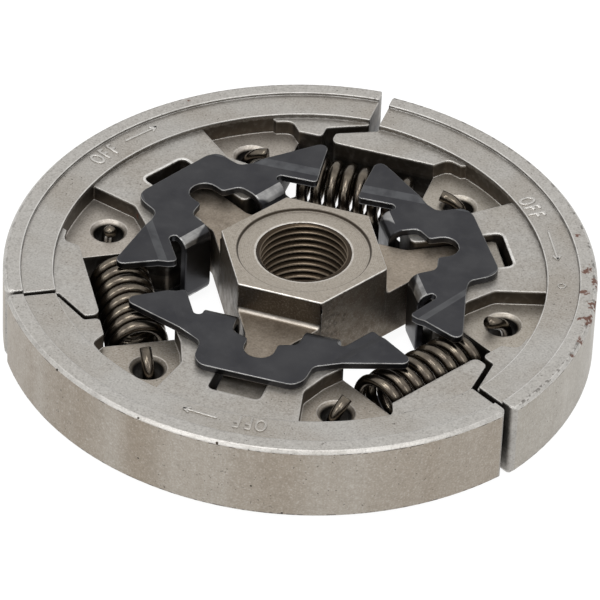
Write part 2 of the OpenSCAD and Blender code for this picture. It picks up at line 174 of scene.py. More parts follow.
@dataclass
class Shader:
    """Material under construction, with the patterns that several finishes share."""

    name: str
    material: bpy.types.Material = field(init=False)
    tree: bpy.types.NodeTree = field(init=False)
    place: bpy.types.NodeSocket = field(init=False)

    def __post_init__(self) -> None:
        """Makes the empty material and its object coordinates."""
        self.material = bpy.data.materials.new(self.name)
        self.material.use_nodes = True
        self.tree = self.material.node_tree
        self.tree.nodes.clear()
        self.place = add_node(self.tree, "ShaderNodeTexCoord").outputs["Object"]

    def grain(self, size: float, detail: float = 2.0, place: Optional[Socket] = None,
              rough: float = 0.5) -> bpy.types.NodeSocket:
        """Noise whose features have a real size.

        Args:
            size: width of one feature in metres.
            detail: octaves of finer noise.
            place: coordinates, or None for the object's own.
            rough: share of the finer octaves.

        Returns:
            A value round 0.5.
        """
        noise = add_node(self.tree, "ShaderNodeTexNoise",
                         {"Vector": place or self.place, "Scale": 1 / size, "Detail": detail,
                          "Roughness": rough})
        return noise.outputs["Fac"]

    def ramp(self, value: Socket, low: float, high: float, to_low: float = 0.0,
             to_high: float = 1.0) -> bpy.types.NodeSocket:
        """Maps a value from one range to another, held at the ends."""
        node = add_node(self.tree, "ShaderNodeMapRange",
                        {0: value, 1: low, 2: high, 3: to_low, 4: to_high}, clamp=True)
        return node.outputs[0]

    def calc(self, operation: str, first: Socket, second: Socket = 0.0) -> bpy.types.NodeSocket:
        """One step of arithmetic on two values."""
        node = add_node(self.tree, "ShaderNodeMath", {0: first, 1: second}, operation=operation)
        return node.outputs[0]

    def mix(self, share: Socket, first: Socket, second: Socket) -> bpy.types.NodeSocket:
        """Mixes two colours.

        Args:
            share: share of the second colour.
            first: colour code's linear value or a socket.
            second: colour code's linear value or a socket.

        Returns:
            The mixed colour.
        """
        node = add_node(self.tree, "ShaderNodeMix", {0: share, 6: first, 7: second},
                        data_type="RGBA")
        return node.outputs[2]

    def spots(self, spots: Tuple[Spot, ...], ragged: bpy.types.NodeSocket) -> bpy.types.NodeSocket:
        """Mask of several round places with ragged borders.

        Args:
            spots: the places.
            ragged: noise that frays the borders.

        Returns:
            1 inside and 0 outside.
        """
        total: Socket = 0.0
        for spot in spots:
            place = tuple(v * MM for v in spot.place)
            away = add_node(self.tree, "ShaderNodeVectorMath", {0: self.place, 1: place},
                            operation="DISTANCE").outputs["Value"]
            near = self.ramp(away, 0.0, spot.reach * MM, spot.strength, 0.0)
            frayed = self.ramp(self.calc("ADD", near, ragged), 0.88, 1.0)
            total = self.calc("MAXIMUM", total, frayed)
        return total

    def rounded_normal(self, radius: Socket) -> bpy.types.NodeSocket:
        """Normal that turns smoothly over the edges of the solid, as on a tumbled edge."""
        return add_node(self.tree, "ShaderNodeBevel", {"Radius": radius}, samples=6).outputs[0]

    def edge_wear_and_sheen(self, rounded: bpy.types.NodeSocket, ragged: bpy.types.NodeSocket,
                  low: float = 0.02, high: float = 0.12) -> bpy.types.NodeSocket:
        """Mask of the edges, which carry wear from handling and a painted highlight.

        Args:
            rounded: rounded normal.
            ragged: noise that breaks the line up.
            low: turn of the normal at which the wear and highlight start.
            high: turn at which they are full.

        Returns:
            1 on an edge and 0 away from it.
        """
        true_normal = add_node(self.tree, "ShaderNodeNewGeometry").outputs["True Normal"]
        dot = add_node(self.tree, "ShaderNodeVectorMath", {0: rounded, 1: true_normal},
                       operation="DOT_PRODUCT").outputs["Value"]
        turned = self.calc("SUBTRACT", 1.0, dot)
        return self.calc("MULTIPLY", self.ramp(turned, low, high), self.ramp(ragged, 0.3, 0.6, 0.45, 1.0))

    def upright(self) -> bpy.types.NodeSocket:
        """Mask of the faces that stand upright."""
        geometry = add_node(self.tree, "ShaderNodeNewGeometry")
        facing = add_node(self.tree, "ShaderNodeSeparateXYZ", {0: geometry.outputs["True Normal"]})
        return self.ramp(self.calc("ABSOLUTE", facing.outputs[2]), 0.25, 0.6, 1.0, 0.0)

    def sloped(self) -> bpy.types.NodeSocket:
        """Mask of the narrow faces between a level face and an upright one."""
        geometry = add_node(self.tree, "ShaderNodeNewGeometry")
        facing = add_node(self.tree, "ShaderNodeSeparateXYZ", {0: geometry.outputs["True Normal"]})
        slope = self.calc("ABSOLUTE", facing.outputs[2])
        return self.calc("MULTIPLY", self.ramp(slope, 0.15, 0.3), self.ramp(slope, 0.88, 0.95, 1.0, 0.0))

    def finish(self, colour: Socket, roughness: Socket, normal: bpy.types.NodeSocket,
               metallic: float = 1.0, anisotropic: float = 0.0) -> bpy.types.Material:
        """Ends the material with its shader.

        Args:
            colour: base colour.
            roughness: roughness.
            normal: normal with its bump.
            metallic: 1 for bare metal.
            anisotropic: stretch of the highlight on drawn or brushed metal.

        Returns:
            The finished material.
        """
        shader = add_node(self.tree, "ShaderNodeBsdfPrincipled",
                          {"Base Color": colour, "Roughness": roughness, "Normal": normal,
                           "Metallic": metallic, "Anisotropic": anisotropic})
        add_node(self.tree, "ShaderNodeOutputMaterial", {"Surface": shader.outputs[0]})
        return self.material


@dataclass(frozen=True)
class SinteredShoeSteel:
    """Sintered and tumbled steel: a matt, finely speckled grey with a warm cast.

    The friction face is ground, which shows as fine upright streaks. The rounded edges show as pale
    broken lines, partly polish from handling and partly a painted highlight, and rust starts where the
    rim is bare. Painted shade darkens the walls of the pockets and holes and the low steps, and painted
    highlights lie along the upper step edges, the slot's closed end, the rim's sloped edge and the
    letter tops.
    """

    name: str
    place: "ShoePlace"
    wall: str = "#918678"
    face: str = "#AFACA7"
    rim: str = "#B5B2AD"
    ground: str = "#B5B1AA"
    shade: str = "#978E82"
    web: str = "#ABA397"
    dark_soil_and_shade: str = "#3A332B"
    low_wall: str = "#6E6458"
    hole_shade: str = "#171411"
    polish_and_highlight: str = "#EFEDE9"
    pit: str = "#3B342D"
    rust: str = "#6C4638"
    rust_spots: Tuple[Spot, ...] = ()
    pits: Tuple[Spot, ...] = ()
    rim_r: float = 38.8 * MM
    rim_in_r: float = 36.6 * MM
    rim_half: float = 5.2 * MM
    mark_half: float = 4.8 * MM
    inner_half: float = 4.15 * MM
    mark_in_r: float = 32.5 * MM
    web_half: float = 2.1 * MM
    lip: float = 0.35 * MM
    shine: float = 0.5
    slot_lip: float = 0.4 * MM
    slot_far: float = 28.35 * MM
    slot_half: float = 3.4 * MM
    slot_near: float = 25.5 * MM
    slot_corner: float = 0.8 * MM
    chips: float = 0.15
    line: float = 0.13 * MM
    edge: float = 0.3 * MM
    corner_from: float = 36.5 * MM
    corner_edge: float = 0.9 * MM

    def material(self) -> bpy.types.Material:
        """Builds the material of one shoe, centred on its own friction face."""
        s = Shader(self.name)
        t = s.tree
        own = self.place.to_arc()
        centred = add_node(t, "ShaderNodeMapping",
                           {"Vector": s.place, "Location": own.to_translation(),
                            "Rotation": own.to_euler()})
        parts = add_node(t, "ShaderNodeSeparateXYZ", {0: centred.outputs[0]})
        x, y, z = parts.outputs[0], parts.outputs[1], parts.outputs[2]
        flat = add_node(t, "ShaderNodeCombineXYZ", {0: x, 1: y, 2: 0.0})
        radius = add_node(t, "ShaderNodeVectorMath", {0: flat.outputs[0]},
                          operation="LENGTH").outputs["Value"]
        height = s.calc("ABSOLUTE", s.calc("SUBTRACT", z, MID_HEIGHT))
        along = s.calc("MULTIPLY", s.calc("ARCTAN2", x, y), self.rim_r)
        unrolled = add_node(t, "ShaderNodeCombineXYZ",
                            {0: along, 1: s.calc("MULTIPLY", z, 0.05), 2: radius})

        fine = s.grain(0.25 * MM, 3.0)
        cloud = s.grain(9 * MM, 3.0)
        blotch = s.grain(2.2 * MM, 4.0)
        mottle = s.grain(0.8 * MM, 3.0)
        streak = s.grain(0.35 * MM, 3.0, unrolled.outputs[0])
        rim_end = s.calc("MULTIPLY", s.ramp(radius, self.rim_r - 1.2 * MM, self.rim_r - 1.0 * MM),
                         s.ramp(s.calc("ABSOLUTE", along), self.corner_from, self.corner_from + 2 * MM))
        rounded = s.rounded_normal(s.ramp(rim_end, 0.0, 1.0, self.edge, self.corner_edge))
        upright = s.upright()
        level = s.calc("SUBTRACT", 1.0, upright)
        outside = s.ramp(radius, self.rim_r - 0.06 * MM, self.rim_r - 0.02 * MM)
        inside = s.calc("SUBTRACT", 1.0, outside)
        on_wall = s.calc("MULTIPLY", upright, outside)
        on_rim = s.ramp(radius, self.rim_in_r - 0.05 * MM, self.rim_in_r + 0.05 * MM)
        low_face = s.ramp(height, self.web_half + 0.6 * MM, self.web_half + 0.4 * MM)
        on_web = s.calc("MULTIPLY", level, low_face)
        band_top = s.ramp(radius, self.mark_in_r - 0.02 * MM, self.mark_in_r + 0.02 * MM,
                          self.inner_half, self.mark_half)
        band_top = s.calc("MAXIMUM", band_top, s.ramp(on_rim, 0.0, 1.0, 0.0, self.rim_half))
        deep = s.ramp(s.calc("SUBTRACT", band_top, height), 0.1 * MM, self.lip)
        shade_depth = s.ramp(radius, self.rim_r - 2.2 * MM, self.rim_r - 0.4 * MM, 1.0, 0.15)
        recess_shade = s.calc("MULTIPLY", s.calc("MULTIPLY", upright, inside),
                           s.calc("MULTIPLY", deep, shade_depth))
        low_wall = s.calc("MULTIPLY", s.ramp(height, self.web_half + 1.2 * MM, self.web_half + 0.1 * MM),
                          s.ramp(height, self.web_half - 0.05 * MM, self.web_half))

        tone = s.mix(s.ramp(cloud, 0.35, 0.68, 0.0, 0.6), linear(self.face), linear(self.shade))
        tone = s.mix(s.calc("MULTIPLY", on_rim, 0.7), tone, linear(self.rim))
        tone = s.mix(s.calc("MULTIPLY", on_web, 0.85), tone, linear(self.web))
        # Painted shade on the low walls of the two steps.
        tone = s.mix(s.calc("MULTIPLY", self.riser_shade(s, radius, upright, height), 0.7), tone,
                     linear(self.dark_soil_and_shade))
        # Painted shade on the deep walls, strongest away from the rim, eased a little low above the web.
        tone = s.mix(s.calc("MULTIPLY", recess_shade, 0.96), tone, linear(self.dark_soil_and_shade))
        tone = s.mix(s.calc("MULTIPLY", s.calc("MULTIPLY", recess_shade, low_wall), 0.22), tone,
                     linear(self.low_wall))
        # Painted shade: near black on the deep walls below the web's top, in the holes and slots.
        hole_shade = s.calc("MULTIPLY", s.calc("MULTIPLY", recess_shade, s.ramp(upright, 0.4, 0.6)),
                        s.ramp(height, self.web_half - 0.3 * MM, self.web_half - 0.6 * MM))
        tone = s.mix(s.calc("MULTIPLY", hole_shade, 0.75), tone, linear(self.hole_shade))
        drift = s.grain(11 * MM, 2.0, unrolled.outputs[0])
        wall_tone = s.mix(s.ramp(drift, 0.4, 0.6, 0.0, 0.5), linear(self.wall), linear(self.ground))
        wall_tone = s.mix(s.ramp(streak, 0.3, 0.7, 0.0, 0.35), wall_tone, linear(self.shade))
        tone = s.mix(on_wall, tone, wall_tone)
        tone = s.mix(s.ramp(mottle, 0.5, 0.75, 0.0, 0.05), tone, linear(self.polish_and_highlight))
        tone = s.mix(s.ramp(mottle, 0.5, 0.25, 0.0, 0.1), tone, linear(self.dark_soil_and_shade))
        tone = s.mix(s.calc("MULTIPLY", s.ramp(fine, 0.52, 0.8, 0.0, 0.22),
                            s.calc("SUBTRACT", 1.0, recess_shade)), tone, linear(self.polish_and_highlight))
        tone = s.mix(s.calc("MULTIPLY", s.ramp(fine, 0.48, 0.25, 0.0, 0.35),
                            s.ramp(on_wall, 0.0, 1.0, 1.0, 0.45)), tone, linear(self.dark_soil_and_shade))

        # Pale edges: partly wear from handling, partly a painted highlight.
        sheen_and_wear_mask = s.calc("MULTIPLY", s.edge_wear_and_sheen(rounded, blotch),
                      s.ramp(recess_shade, 0.0, 0.5, 1.0, 0.1))
        tone = s.mix(s.calc("MULTIPLY", sheen_and_wear_mask, 0.6), tone, linear(self.polish_and_highlight))
        # Painted highlight along the upper edges of the steps, and painted shade at their feet.
        tone = s.mix(s.calc("MULTIPLY", self.step_sheen_and_shade(s, radius, level, low_face, True),
                            s.ramp(blotch, 0.3, 0.6, 0.3 * self.shine, self.shine)), tone,
                     linear(self.polish_and_highlight))
        tone = s.mix(s.calc("MULTIPLY", self.step_sheen_and_shade(s, radius, level, low_face, False),
                            s.ramp(blotch, 0.7, 0.4, 0.45, 0.8)), tone, linear(self.dark_soil_and_shade))
        # Painted highlight on the lip round the slot's closed end.
        tone = s.mix(s.calc("MULTIPLY", self.slot_lip_highlight(s, x, y, height, level),
                            s.ramp(mottle, 0.35, 0.55, 0.5 * self.shine, 1.5 * self.shine)), tone,
                     linear(self.polish_and_highlight))
        at_rim = s.ramp(radius, self.rim_r - 0.45 * MM, self.rim_r - 0.38 * MM)
        # Painted shade on the sloped faces down in the holes.
        sink_shade = s.calc("MULTIPLY", s.sloped(), s.ramp(height, self.web_half - 0.25 * MM,
                                                            self.web_half - 0.45 * MM))
        tone = s.mix(s.calc("MULTIPLY", sink_shade, 0.85), tone, linear(self.dark_soil_and_shade))
        # Painted highlight on the sloped edge of the rim.
        rim_slope_highlight = s.calc("MULTIPLY", s.sloped(), at_rim)
        tone = s.mix(s.calc("MULTIPLY", rim_slope_highlight, s.ramp(blotch, 0.35, 0.6, 0.0, 0.25)), tone,
                     linear(self.polish_and_highlight))
        below = s.calc("MULTIPLY", s.ramp(height, self.mark_half - 0.18 * MM, self.mark_half - 0.08 * MM),
                       on_wall)
        chipped = s.calc("MULTIPLY", below, s.ramp(mottle, 0.5, 0.58))
        tone = s.mix(s.calc("MULTIPLY", chipped, 0.75), tone, linear(self.pit))
        outer_edge = s.calc("MULTIPLY", s.ramp(radius, self.rim_r - 0.7 * MM, self.rim_r - 0.55 * MM),
                            s.ramp(radius, self.rim_r - 0.2 * MM, self.rim_r - 0.3 * MM))
        edge_chips = s.calc("MULTIPLY", outer_edge, s.ramp(mottle, 0.52, 0.6, 0.0, self.chips))
        edge_chips = s.calc("MULTIPLY", edge_chips, s.ramp(height, self.mark_half - 0.1 * MM,
                                                           self.mark_half))
        tone = s.mix(edge_chips, tone, linear(self.pit))
        # Painted highlight on the tops of the raised letters.
        raised = s.calc("MULTIPLY", s.ramp(height, self.mark_half + 0.03 * MM, self.mark_half + 0.06 * MM),
                        s.ramp(radius, self.rim_in_r - 0.2 * MM, self.rim_in_r - 0.3 * MM))
        tone = s.mix(s.calc("MULTIPLY", raised, 0.5 * self.shine), tone, linear(self.polish_and_highlight))

        pores = s.grain(0.4 * MM, 1.0)
        pore_mask = s.calc("MULTIPLY", s.ramp(pores, 0.71, 0.75), s.ramp(cloud, 0.42, 0.52, 0.2, 0.9))
        pitted = s.calc("MAXIMUM", s.spots(self.pits, mottle), s.calc("MULTIPLY", pore_mask, 0.7))
        tone = s.mix(pitted, tone, linear(self.pit))
        rusty = s.calc("MULTIPLY", s.spots(self.rust_spots, s.grain(0.9 * MM, 4.0)),
                       s.ramp(s.grain(0.45 * MM, 3.0), 0.42, 0.5))
        tone = s.mix(s.calc("MULTIPLY", rusty, 0.85), tone, linear(self.rust))

        rough = s.calc("ADD", s.ramp(blotch, 0.3, 0.7, 0.38, 0.48), s.calc("MULTIPLY", rusty, 0.3))
        lift = s.calc("ADD", s.calc("MULTIPLY", fine, 0.7), s.calc("MULTIPLY", on_wall, streak))
        bump = add_node(t, "ShaderNodeBump", {"Height": lift, "Strength": 0.35, "Distance": 0.02 * MM,
                                              "Normal": rounded})
        return s.finish(tone, rough, bump.outputs[0], metallic=0.9)

    def step_sheen_and_shade(self, s: Shader, radius: bpy.types.NodeSocket, level: bpy.types.NodeSocket,
                   low_face: bpy.types.NodeSocket, upper: bool) -> bpy.types.NodeSocket:
        """Mask of the thin lines along the two steps of the bands: a painted highlight on the upper edge,
        painted shade at the foot.

        Args:
            s: shader under construction.
            radius: distance from the arc's centre.
            level: mask of the level faces.
            low_face: mask of the webs, which have no step.
            upper: True for the painted highlight on the upper edge, False for the painted shade at the foot.

        Returns:
            1 on the lines.
        """
        total: Socket = 0.0
        for step in (self.rim_in_r, self.mark_in_r):
            middle = step + (0.5 if upper else -0.5) * self.line
            away = s.calc("ABSOLUTE", s.calc("SUBTRACT", radius, middle))
            total = s.calc("MAXIMUM", total, s.ramp(away, 0.6 * self.line, 0.4 * self.line))
        high = s.calc("MULTIPLY", level, s.calc("SUBTRACT", 1.0, low_face))
        return s.calc("MULTIPLY", total, high)

    def riser_shade(self, s: Shader, radius: bpy.types.NodeSocket, upright: bpy.types.NodeSocket,
                   height: bpy.types.NodeSocket) -> bpy.types.NodeSocket:
        """Mask of the low upright walls of the two steps, which get painted shade.

        Args:
            s: shader under construction.
            radius: distance from the arc's centre.
            upright: mask of the upright faces.
            height: distance from the middle plane.

        Returns:
            1 on the walls.
        """
        total: Socket = 0.0
        for step in (self.rim_in_r, self.mark_in_r):
            away = s.calc("ABSOLUTE", s.calc("SUBTRACT", radius, step))
            total = s.calc("MAXIMUM", total, s.ramp(away, 0.12 * MM, 0.06 * MM))
        high = s.ramp(height, self.inner_half - 0.1 * MM, self.inner_half)
        return s.calc("MULTIPLY", total, s.calc("MULTIPLY", high, upright))

    def slot_lip_highlight(self, s: Shader, x: bpy.types.NodeSocket, y: bpy.types.NodeSocket,
                  height: bpy.types.NodeSocket, level: bpy.types.NodeSocket) -> bpy.types.NodeSocket:
        """Mask of the painted highlight on the lip round the closed end of the slot.

        Args:
            s: shader under construction.
            x: distance across the shoe.
            y: distance from the arc's centre along the arm.
            height: distance from the middle plane.
            level: mask of the level faces.

        Returns:
            1 on the lip.
        """
        beside = s.calc("SUBTRACT", s.calc("ABSOLUTE", x), self.slot_half - self.slot_corner)
        beyond = s.calc("SUBTRACT", y, self.slot_far - self.slot_corner)
        past_corner = add_node(s.tree, "ShaderNodeCombineXYZ", {0: s.calc("MAXIMUM", beside, 0.0),
                                                               1: s.calc("MAXIMUM", beyond, 0.0)})
        away = add_node(s.tree, "ShaderNodeVectorMath", {0: past_corner.outputs[0]},
                        operation="LENGTH").outputs["Value"]
        near = s.ramp(away, self.slot_corner + self.slot_lip, self.slot_corner + 0.7 * self.slot_lip)
        closed_end = s.ramp(y, self.slot_near, self.slot_near + 2 * MM)
        high = s.ramp(height, self.inner_half - 0.1 * MM, self.inner_half - 0.05 * MM)
        return s.calc("MULTIPLY", s.calc("MULTIPLY", near, closed_end), s.calc("MULTIPLY", high, level))


@dataclass(frozen=True)
class TurnedHubSteel:
    """Sintered steel with a turned top: fine rings round the bore, brown oxide and painted shade on the
    sides, painted highlights on the edges and round the bore's mouth, and painted light on the arm ends.
    """

    name: str = "turned_hub_steel"
    face: str = "#A69E93"
    ring: str = "#90887C"
    arm: str = "#9C9183"
    side: str = "#6B6358"
    oxide: str = "#584C3F"
    polish_and_highlight: str = "#EDE9E3"
    grime_and_shade: str = "#3A332B"
    top_height: float = 12.2 * MM
    recess_r: float = 8.4 * MM
    ring_pitch: float = 0.25 * MM
    mouth_r: float = 7.0 * MM
    lip_r: float = 6.35 * MM
    tip: str = "#9A958D"
    tip_from: float = 22.5 * MM
    front_side_shade: Tuple[Spot, ...] = (Spot((0.0, -9.5, 9.5), 12.0),)

    def material(self) -> bpy.types.Material:
        """Builds the material of the carrier."""
        s = Shader(self.name)
        t = s.tree
        parts = add_node(t, "ShaderNodeSeparateXYZ", {0: s.place})
        flat = add_node(t, "ShaderNodeCombineXYZ", {0: parts.outputs[0], 1: parts.outputs[1], 2: 0.0})
        radius = add_node(t, "ShaderNodeVectorMath", {0: flat.outputs[0]},
                          operation="LENGTH").outputs["Value"]
        fine = s.grain(0.25 * MM, 3.0)
        cloud = s.grain(5 * MM, 4.0)
        mottle = s.grain(0.7 * MM, 3.0)
        blotch = s.grain(1.4 * MM, 4.0)
        rounded = s.rounded_normal(0.12 * MM)
        on_top = s.ramp(parts.outputs[2], self.top_height - 0.1 * MM, self.top_height)
        rings = s.calc("SINE", s.calc("MULTIPLY", radius, 2 * pi / self.ring_pitch))

        low = s.mix(s.ramp(cloud, 0.38, 0.65, 0.0, 0.4), linear(self.arm), linear(self.oxide))
        top = s.mix(s.ramp(rings, -1.0, 1.0, 0.0, 0.4), linear(self.face), linear(self.ring))
        tone = s.mix(on_top, low, top)
        # The sides are brown oxide, darkened further by painted shade.
        side = s.mix(s.ramp(blotch, 0.35, 0.65), linear(self.side), linear(self.oxide))
        tone = s.mix(s.calc("MULTIPLY", s.upright(), 0.9), tone, side)
        # Painted shade low on the front sides of the hub, beside the arm.
        front_side_shading = s.calc("MULTIPLY", s.spots(self.front_side_shade, mottle), s.upright())
        tone = s.mix(s.calc("MULTIPLY", front_side_shading, 0.5), tone, linear(self.grime_and_shade))
        step = s.calc("ABSOLUTE", s.calc("SUBTRACT", radius, self.recess_r))
        near_step = s.ramp(step, 0.3 * MM, 0.2 * MM)
        mouth = s.ramp(radius, self.mouth_r, self.mouth_r - 0.08 * MM)
        lip = s.calc("MULTIPLY", s.ramp(radius, self.lip_r, self.lip_r - 0.1 * MM), on_top)
        # Painted light: the ends of the arms, which sit under the retainers, are lightened.
        tip = s.ramp(radius, self.tip_from, self.tip_from + 1 * MM)
        tone = s.mix(s.calc("MULTIPLY", tip, 0.8), tone, linear(self.tip))
        tone = s.mix(s.ramp(fine, 0.52, 0.8, 0.0, 0.15), tone, linear(self.polish_and_highlight))
        tone = s.mix(s.ramp(fine, 0.48, 0.25, 0.0, 0.3), tone, linear(self.grime_and_shade))
        tone = s.mix(s.ramp(mottle, 0.5, 0.25, 0.0, 0.15), tone, linear(self.grime_and_shade))
        # Pale edges: partly wear, partly a painted highlight that is fullest on the upper edges.
        above = s.ramp(parts.outputs[2], self.top_height - 0.7 * MM, self.top_height - 0.5 * MM)
        sheen_strength = s.ramp(above, 0.0, 1.0, 0.3, 1.0)
        sheen_strength = s.calc("MULTIPLY", sheen_strength, s.ramp(mottle, 0.3, 0.5, 0.55, 1.0))
        sheen_strength = s.calc("MULTIPLY", sheen_strength, s.ramp(near_step, 0.0, 1.0, 1.0, 0.0))
        sheen_strength = s.calc("MULTIPLY", sheen_strength, s.ramp(mouth, 0.0, 1.0, 1.0, 0.6))
        sheen_and_wear_mask = s.calc("MAXIMUM", s.edge_wear_and_sheen(rounded, blotch), s.sloped())
        tone = s.mix(s.calc("MULTIPLY", sheen_and_wear_mask, sheen_strength), tone, linear(self.polish_and_highlight))
        # Painted highlight round the bore's mouth, partly polish.
        tone = s.mix(s.calc("MULTIPLY", lip, s.ramp(mottle, 0.3, 0.5, 0.15, 0.4)), tone,
                     linear(self.polish_and_highlight))
        groove = s.calc("MULTIPLY", s.ramp(step, 0.16 * MM, 0.08 * MM), above)
        tone = s.mix(s.calc("MULTIPLY", groove, 0.85), tone, linear(self.grime_and_shade))

        lift = s.calc("ADD", fine, s.calc("MULTIPLY", s.calc("MULTIPLY", rings, on_top), 0.35))
        bump = add_node(t, "ShaderNodeBump", {"Height": lift, "Strength": 0.3, "Distance": 0.02 * MM,
                                              "Normal": rounded})
        return s.finish(tone, s.ramp(blotch, 0.3, 0.7, 0.36, 0.5), bump.outputs[0], metallic=0.9)


@dataclass(frozen=True)
class BluedSheet:
    """Blued spring steel sheet: a satin blue-black with grey scuffs, thin bright cut edges that are bare
    metal with a painted highlight, and a painted highlight along the steps of the sheet.
    """

    name: str = "blued_spring_sheet"
    bend_highlight: float = 0.2
    face: str = "#444446"
    deep: str = "#39393C"
    scuff: str = "#59595B"
    bare: str = "#B4B3B1"
    highlight_grey: str = "#8A8C8E"
    fold_out: float = 14.3 * MM

    def material(self) -> bpy.types.Material:
        """Builds the material of the retainers."""
        s = Shader(self.name)
        fine = s.grain(0.2 * MM, 3.0)
        cloud = s.grain(5 * MM, 3.0)
        blotch = s.grain(1.6 * MM, 4.0)
        rounded = s.rounded_normal(0.35 * MM)
        tone = s.mix(s.ramp(cloud, 0.35, 0.65), linear(self.face), linear(self.deep))
        tone = s.mix(s.ramp(blotch, 0.5, 0.8, 0.0, 0.25), tone, linear(self.scuff))
        tone = s.mix(s.ramp(fine, 0.6, 0.8, 0.0, 0.2), tone, linear(self.scuff))
        parts = add_node(s.tree, "ShaderNodeSeparateXYZ", {0: s.place})
        flat = add_node(s.tree, "ShaderNodeCombineXYZ",
                        {0: parts.outputs[0], 1: parts.outputs[1], 2: 0.0})
        radius = add_node(s.tree, "ShaderNodeVectorMath", {0: flat.outputs[0]},
                          operation="LENGTH").outputs["Value"]
        past_fold = s.ramp(radius, self.fold_out, self.fold_out + 0.2 * MM)
        true_normal = add_node(s.tree, "ShaderNodeNewGeometry").outputs["True Normal"]
        tilt = add_node(s.tree, "ShaderNodeSeparateXYZ", {0: true_normal}).outputs[2]
        # Painted highlight on the sloped bands where the sheet steps near the wing tips.
        bend_highlight_mask = s.calc("MULTIPLY", s.ramp(tilt, 0.95, 0.96), s.ramp(tilt, 0.985, 0.98))
        bend_highlight_mask = s.calc("MULTIPLY", bend_highlight_mask, s.ramp(blotch, 0.3, 0.55, 0.3, 1.0))
        tone = s.mix(s.calc("MULTIPLY", bend_highlight_mask, self.bend_highlight), tone, linear(self.highlight_grey))
        # Cut edges: bare metal with a painted highlight.
        sheen_and_wear_mask = s.calc("MULTIPLY", s.sloped(), past_fold)
        sheen_and_wear_mask = s.calc("MULTIPLY", sheen_and_wear_mask, s.ramp(blotch, 0.3, 0.6, 0.35, 0.8))
        tone = s.mix(sheen_and_wear_mask, tone, linear(self.bare))
        bump = add_node(s.tree, "ShaderNodeBump", {"Height": fine, "Strength": 0.15,
                                                   "Distance": 0.01 * MM, "Normal": rounded})
        return s.finish(tone, s.ramp(blotch, 0.3, 0.7, 0.28, 0.42), bump.outputs[0])


@dataclass(frozen=True)
class DrawnSpringWire:
    """Drawn and tempered wire: a dark bronze oxide that mirrors the light as narrow streaks."""

    name: str = "drawn_spring_wire"
    face: str = "#736B5F"
    oxide: str = "#504942"
    bare: str = "#C9C2B7"

    def material(self) -> bpy.types.Material:
        """Builds the material of the springs and of their hooks."""
        s = Shader(self.name)
        fine = s.grain(0.15 * MM, 3.0)
        blotch = s.grain(1.2 * MM, 4.0)
        tone = s.mix(s.ramp(blotch, 0.3, 0.7), linear(self.face), linear(self.oxide))
        tone = s.mix(s.ramp(fine, 0.6, 0.78, 0.0, 0.3), tone, linear(self.bare))
        bump = add_node(s.tree, "ShaderNodeBump", {"Height": fine, "Strength": 0.12,
                                                   "Distance": 0.01 * MM})
        return s.finish(tone, s.ramp(blotch, 0.3, 0.7, 0.2, 0.28), bump.outputs[0])


@dataclass(frozen=True)
class CutThreadSteel:
    """Cut thread: lighter crests over darker brown flanks."""

    name: str = "cut_thread_steel"
    flank: str = "#3C3329"
    crest: str = "#6A5F52"
    crest_r: float = 5.52 * MM

    def material(self) -> bpy.types.Material:
        """Builds the material of the thread."""
        s = Shader(self.name)
        parts = add_node(s.tree, "ShaderNodeSeparateXYZ", {0: s.place})
        flat = add_node(s.tree, "ShaderNodeCombineXYZ",
                        {0: parts.outputs[0], 1: parts.outputs[1], 2: 0.0})
        radius = add_node(s.tree, "ShaderNodeVectorMath", {0: flat.outputs[0]},
                          operation="LENGTH").outputs["Value"]
        fine = s.grain(0.2 * MM, 3.0)
        tone = s.mix(s.ramp(radius, self.crest_r + 0.08 * MM, self.crest_r), linear(self.flank),
                     linear(self.crest))
        bump = add_node(s.tree, "ShaderNodeBump", {"Height": fine, "Strength": 0.2,
                                                   "Distance": 0.01 * MM})
        return s.finish(tone, s.ramp(fine, 0.3, 0.7, 0.3, 0.42), bump.outputs[0])


@dataclass(frozen=True)
class ShoePlace:
    """Where one shoe stands at rest, and the raised marks on its band.

    Angles are in degrees. Marks are given by their distance across the shoe, clockwise of its arm.
    """

    name: str
    body: str
    arm_angle: float
    side: float
    out: float
    turn: float
    letters_at: float
    arrow_at: float
    arrow_len: float
    mark_reach: float
    ring_mark: bool = False
    pivot: float = 22 * MM
    travel: float = 1.75 * MM

    def matrix(self) -> Matrix:
        """Placement of the shoe's own frame, whose arm points along +Y."""
        turn_to_arm = Matrix.Rotation(radians(self.arm_angle - 90), 4, "Z")
        settle = Matrix.Translation((self.side, self.out + self.pivot, 0))
        turn = Matrix.Rotation(radians(self.turn), 4, "Z")
        return turn_to_arm @ settle @ turn @ Matrix.Translation((0, -self.pivot, 0))

    def to_arc(self) -> Matrix:
        """Turns places in the picture's frame into places from the centre of the friction face."""
        return (self.matrix() @ Matrix.Translation((0, -self.travel, 0))).inverted()


